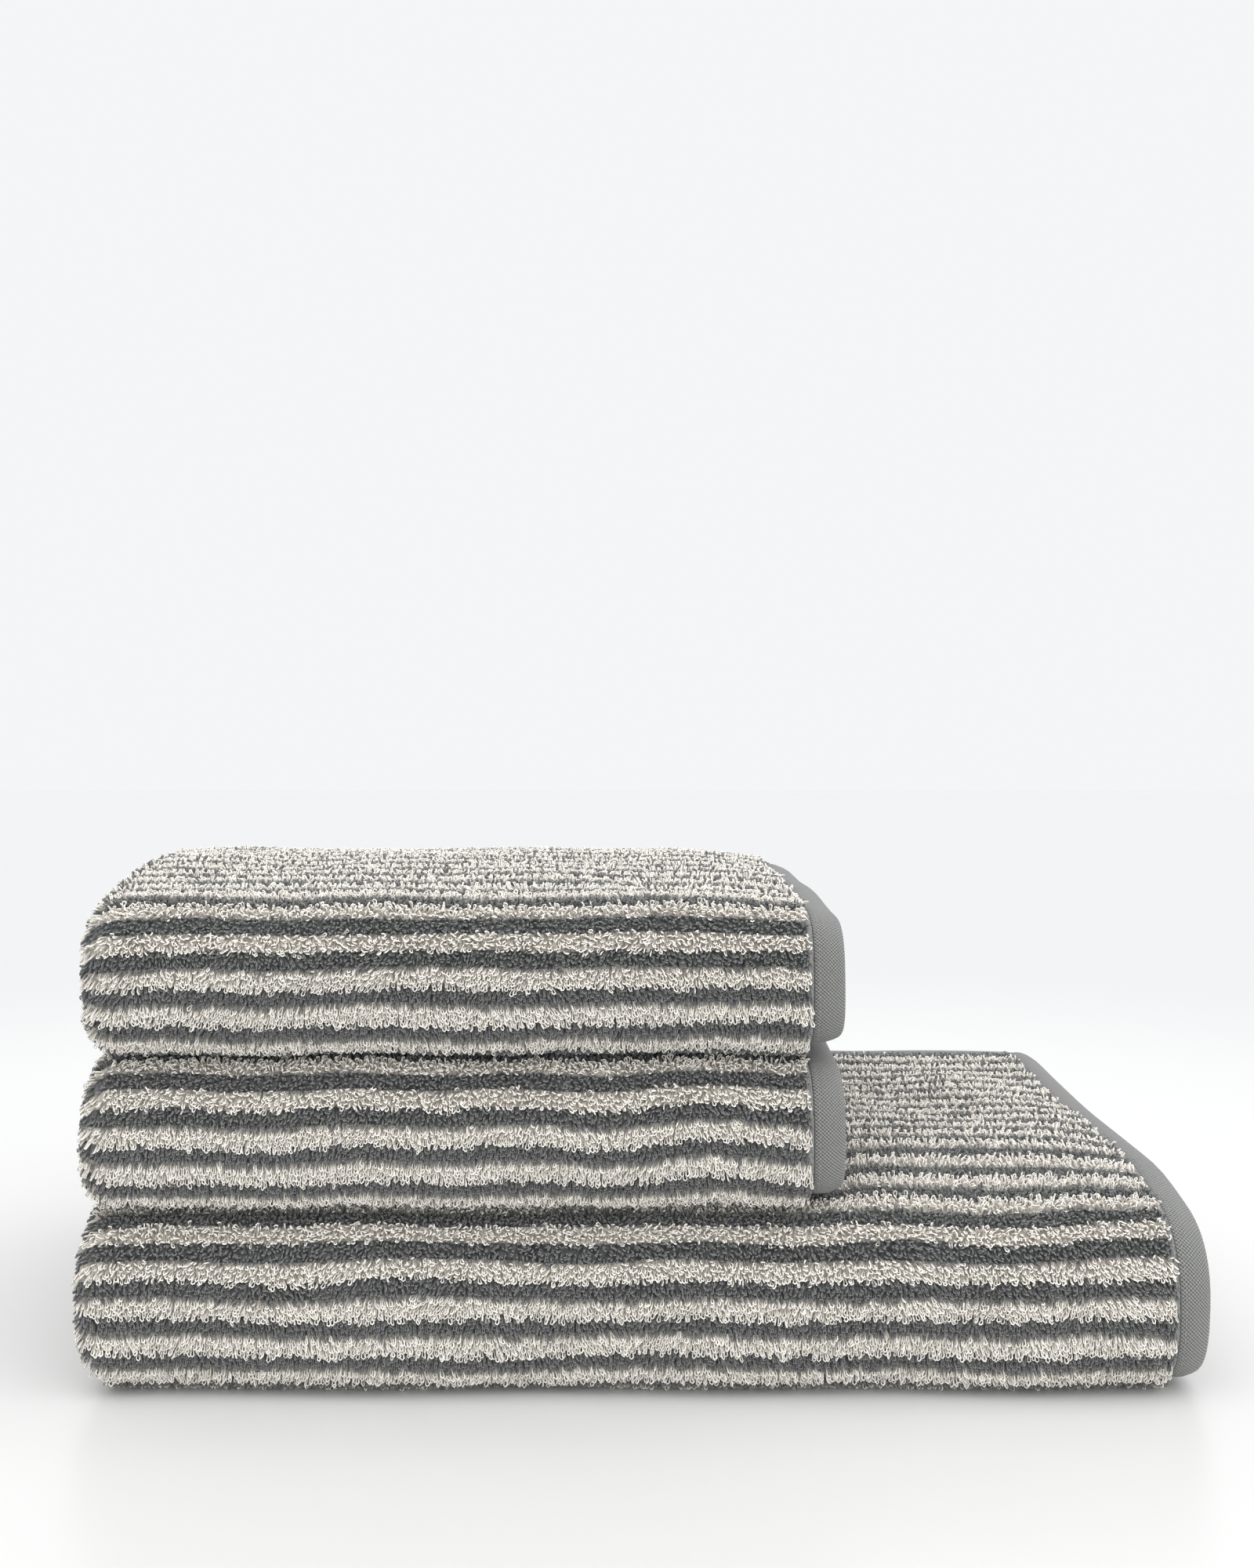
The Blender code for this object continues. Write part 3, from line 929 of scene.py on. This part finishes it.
def hem_band(towel, part, lengthwise, start, width, middle, flip):
    """A hem along the towel's end (lengthwise False) or side. start is where its inner edge
    lies, width is signed, and middle is the height of its mid-line in the cloth. flip turns
    the faces of a mirrored hem outwards."""
    share = np.array([s for s, _ in HEM_SECTION])
    half = np.array([h for _, h in HEM_SECTION]) * HEM_THICKNESS / 2
    shares = np.concatenate([share, share[::-1]])
    heights = np.concatenate([middle + half, (middle - half)[::-1]])
    span = (0, towel.width)
    bends = towel.across.bends
    if lengthwise:
        span = (END_HEM + LAYER_GAP, towel.length - END_HEM - LAYER_GAP)
        bends = towel.along.bends
    marks = steps_between(*span, bends, 14 * MM, 20)
    marks = np.unique(np.concatenate([marks, [span[0] + 1.2 * MM, span[1] - 1.2 * MM]]))
    squeeze = np.ones(len(marks))  # rounds off the two ends
    squeeze[[0, -1]] = 0.35
    squeeze[[1, -2]] = 0.9
    corner = np.ones(len(marks))  # rounds off the towel's corners
    if not lengthwise:
        corner[[0, -1]] = 0.80
        corner[[1, -2]] = 0.95
    run_on = marks[:, None] * np.ones(len(shares))
    sideways = start + width * shares[None, :] * corner[:, None]
    w = middle + (heights[None, :] - middle) * squeeze[:, None]
    rolls = 0 if lengthwise or flip else 1
    w = w - HEM_ROLL * rolls * shares[None, :] ** 2.2
    if lengthwise:
        rings = towel.place(run_on, sideways, w)
        lay = np.stack([run_on, np.abs(width) * shares + 0 * run_on], -1)
    else:
        rings = towel.place(sideways - HEM_DRAW * rolls * shares[None, :] ** 2, run_on, w)
        lay = np.stack([towel.run(run_on), np.abs(width) * shares + 0 * run_on], -1)
    if flip:
        rings, lay = rings[:, ::-1], lay[:, ::-1]
    piece = closed_tube(f"{towel.name}_{part}_band", rings, lay)
    piece.data.materials.append(hem_cloth)
    return piece


LOOP_TAPE = 0.8 * MM
band_middles = {}
trimmings = {t.name: [] for t in towels}
for towel in towels:
    mid = towel.cloth / 2
    sewn_pack = HEM_THICKNESS + LAYER_GAP + 2 * LOOP_TAPE + LAYER_GAP
    sewn_mid = (towel.cloth - sewn_pack) / 2 + HEM_THICKNESS / 2
    band_middles[towel.name] = (mid, sewn_mid)
    far_end, far_side = towel.length - END_HEM, towel.width - SIDE_HEM
    for part, lengthwise, start, width, middle, flip in (
        ("outer_end_hem", False, far_end, END_HEM, mid, False),
        ("inner_end_hem", False, END_HEM, -END_HEM, sewn_mid, True),
        ("side_hem_low", True, SIDE_HEM, -SIDE_HEM, mid, False),
        ("side_hem_high", True, far_side, SIDE_HEM, mid, True),
    ):
        band = hem_band(towel, part, lengthwise, start, width, middle, flip)
        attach(band, towel.body)
        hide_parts(f"{towel.name}_{part}")
        trimmings[towel.name].append(band)

# --- Hanging loops and care labels --------------------------------------------------------
# A short woven tape and a blank satin label, each folded double, lie on the end hem that is
# folded in, and are sewn to it through their ends.
LOOP_SIZE = (45 * MM, 8 * MM)
LABEL_SIZE = (35 * MM, 12 * MM)
LABEL_TAPE = 0.4 * MM
LOOP_FROM_EDGE = 100 * MM
LABEL_FROM_EDGE = LOOP_FROM_EDGE + LOOP_SIZE[0] + 20 * MM

# Narrow grosgrain: ribs across the tape, one every 1.2 mm, each catching a soft highlight.
tape_cloth, tree, shader = new_material(
    "grosgrain cotton tape", {"Roughness": 0.75, "Sheen Weight": 0.2, "Sheen Roughness": 0.5}
)
cloth_map = add_node(tree, "ShaderNodeUVMap", uv_map="cloth").outputs[0]
flat = add_node(tree, "ShaderNodeSeparateXYZ", {0: cloth_map}).outputs
ribs = maths(tree, "SINE", maths(tree, "MULTIPLY", flat["Y"], 2 * math.pi / (1.2 * MM)))
tape_colour = mix_colours(tree, stretch(tree, ribs, -1.0, 1.0), "#5A5B5A", "#838481")
dress(tree, shader, tape_colour, ribs, 0.7, 0.2 * MM)

# Polyester satin: long floats along the tape give it a gloss that runs one way.
label_cloth, tree, shader = new_material(
    "white polyester satin label", {"Roughness": 0.38, "Anisotropic": 0.6, "IOR": 1.5}
)
cloth_map = add_node(tree, "ShaderNodeUVMap", uv_map="cloth").outputs[0]
floats = add_node(
    tree,
    "ShaderNodeTexBrick",
    {
        "Vector": cloth_map,
        "Color1": linear("#EEEDE9"),
        "Color2": linear("#E6E5E0"),
        "Mortar": linear("#D3D2CC"),
        "Scale": 1.0,
        "Mortar Size": 0.05 * MM,
        "Brick Width": 0.4 * MM,
        "Row Height": 1.6 * MM,
    },
)
dress(tree, shader, floats.outputs["Color"])


def doubled_tape(towel, part, start, size, thickness, material):
    """A tape over the inner end hem that doubles back on itself at its nose."""
    tape_length, tape_width = size
    path = HalfFold(2 * tape_length, thickness, (1.0, 1.0, 1.0))
    near = (END_HEM - tape_width) / 2
    base = band_middles[towel.name][1] + HEM_THICKNESS / 2 + LAYER_GAP
    along = steps_between(0, 2 * tape_length, path.bends, 2.5 * MM, 8)
    widths = near + tape_width * np.array([0, 0.03, 0.5, 0.97, 1])
    u, run = np.meshgrid(widths, along, indexing="ij")
    faces = []
    for through in (0, thickness):
        from_nose, up = path.place(run, np.full(run.shape, through))
        faces.append(towel.place(u, start + from_nose, base + up))
    lay = np.stack([u, run], -1)
    tape = closed_grid(f"{towel.name}_{part}_tape", np.stack(faces), np.stack([lay, lay]))
    tape.data.materials.append(material)
    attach(tape, towel.body)
    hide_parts(f"{towel.name}_{part}")
    trimmings[towel.name].append(tape)
    return tape


for towel in towels:
    loop = doubled_tape(towel, "hanging_loop", LOOP_FROM_EDGE, LOOP_SIZE, LOOP_TAPE, tape_cloth)
    label = doubled_tape(towel, "care_label", LABEL_FROM_EDGE, LABEL_SIZE, LABEL_TAPE, label_cloth)

# --- Stitches -----------------------------------------------------------------------------
# A lockstitch in grey polyester thread holds each hem down, 3 mm to the stitch, and a bar tack
# of close stitches holds the ends of each hanging loop and care label.
stitch_tree, given = new_tree(
    "stitches along a seam",
    {"Seams": "Geometry", "Stitch pitch": "Float", "Thread radius": "Float", "Thread": "Material"},
)
seam_lines = add_node(stitch_tree, "GeometryNodeMeshToCurve", {"Mesh": given["Seams"]})
spaced = add_node(
    stitch_tree,
    "GeometryNodeCurveToPoints",
    {"Curve": seam_lines.outputs[0], "Length": given["Stitch pitch"]},
    mode="LENGTH",
).outputs
lying = add_node(
    stitch_tree, "FunctionNodeAlignRotationToVector", {"Vector": spaced["Tangent"]}, axis="X"
)
half_long = maths(stitch_tree, "MULTIPLY", given["Stitch pitch"], 0.42)
stitch_size = add_node(
    stitch_tree,
    "ShaderNodeCombineXYZ",
    {"X": half_long, "Y": given["Thread radius"], "Z": given["Thread radius"]},
)
one_stitch = add_node(stitch_tree, "GeometryNodeMeshIcoSphere", {"Radius": 1.0, "Subdivisions": 1})
laid = add_node(
    stitch_tree,
    "GeometryNodeInstanceOnPoints",
    {
        "Points": spaced["Points"],
        "Instance": one_stitch.outputs["Mesh"],
        "Rotation": lying.outputs[0],
        "Scale": stitch_size.outputs[0],
    },
)
finish_tree(stitch_tree, laid.outputs[0], given["Thread"])

# Polyester sewing thread: a shade lighter than the hem, and a little glossier than cotton.
thread, tree, shader = new_material(
    "polyester sewing thread, grey",
    {"Base Color": linear("#8A8B88"), "Roughness": 0.55, "Sheen Weight": 0.15},
)
for towel in towels:
    mid, sewn_mid = band_middles[towel.name]
    seams = []
    face = mid + 0.39 * HEM_THICKNESS
    across_marks = np.arange(SIDE_HEM, towel.width - SIDE_HEM, 2 * MM)
    along_marks = np.arange(END_HEM, towel.length - END_HEM, 2 * MM)
    end_seam = towel.length - END_HEM + 0.14 * END_HEM
    seams.append(towel.place(np.full(across_marks.shape, end_seam), across_marks, face))
    for side_seam in (SIDE_HEM * 0.86, towel.width - SIDE_HEM * 0.86):
        seams.append(towel.place(along_marks, np.full(along_marks.shape, side_seam), face))
    tack = sewn_mid + HEM_THICKNESS / 2 + 2 * LAYER_GAP
    for start, (length, width), tape in (
        (LOOP_FROM_EDGE, LOOP_SIZE, LOOP_TAPE),
        (LABEL_FROM_EDGE, LABEL_SIZE, LABEL_TAPE),
    ):
        across_tape = (END_HEM + width * np.linspace(-0.9, 0.9, 8)) / 2
        for back in (2 * MM, 3 * MM, 4 * MM):
            row = np.full(across_tape.shape, start + length - back)
            seams.append(towel.place(across_tape, row, tack + 2 * tape))
    points = np.concatenate(seams)
    edges = []
    first = 0
    for seam in seams:
        edges += [(k, k + 1) for k in range(first, first + len(seam) - 1)]
        first += len(seam)
    lines = bpy.data.meshes.new(f"{towel.name}_seam_lines")
    lines.from_pydata(points.tolist(), edges, [])
    sizes = {"Stitch pitch": 3.0 * MM, "Thread radius": 0.28 * MM}
    mesh = grow(stitch_tree, lines, {**sizes, "Thread": thread})
    stitches = bpy.data.objects.new(f"{towel.name}_stitches", mesh)
    scene.collection.objects.link(stitches)
    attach(stitches, towel.body)
    trimmings[towel.name].append(stitches)

# --- Table and light ----------------------------------------------------------------------
# A white satin table top in a white room: light from all round, and as much again from a
# big soft lamp overhead.
table_top, tree, shader = new_material(
    "white satin acrylic table top",
    {"Roughness": 0.28, "IOR": 1.4, "Specular IOR Level": 0.5},
)
# Painted light: the table top is painted paler round the stack, where the stack shades it, and darker
# further off, so that it fades into the backdrop.
spot = add_node(tree, "ShaderNodeTexCoord")
away = add_node(tree, "ShaderNodeVectorMath", {0: spot.outputs["Object"]}, operation="LENGTH")
painted_light_falloff = add_node(
    tree,
    "ShaderNodeMapRange",
    {"Value": away.outputs["Value"], "From Min": 0.4, "From Max": 1.2, "To Min": 0, "To Max": 1},
    interpolation_type="SMOOTHSTEP",
)
dress(tree, shader, mix_colours(tree, painted_light_falloff.outputs[0], "#DCDCDA", "#CDCDCD"))
bpy.ops.mesh.primitive_grid_add(x_subdivisions=2, y_subdivisions=2, size=9)
floor = bpy.context.object
floor.name = "floor"
floor.data.materials.append(table_top)

room = bpy.data.worlds.new("white room")
room.use_nodes = True
backdrop = room.node_tree.nodes["Background"]
backdrop.inputs["Color"].default_value = (0.905, 0.915, 0.93, 1.0)
backdrop.inputs["Strength"].default_value = 1.0
scene.world = room

lamp_data = bpy.data.lights.new("overhead light", "SUN")
lamp_data.angle = math.radians(110)
lamp_data.energy = 2.2
lamp = bpy.data.objects.new("overhead light", lamp_data)
lamp.location = (0, 0, 2)
lamp.rotation_euler = (math.radians(34), math.radians(16), 0)
scene.collection.objects.link(lamp)
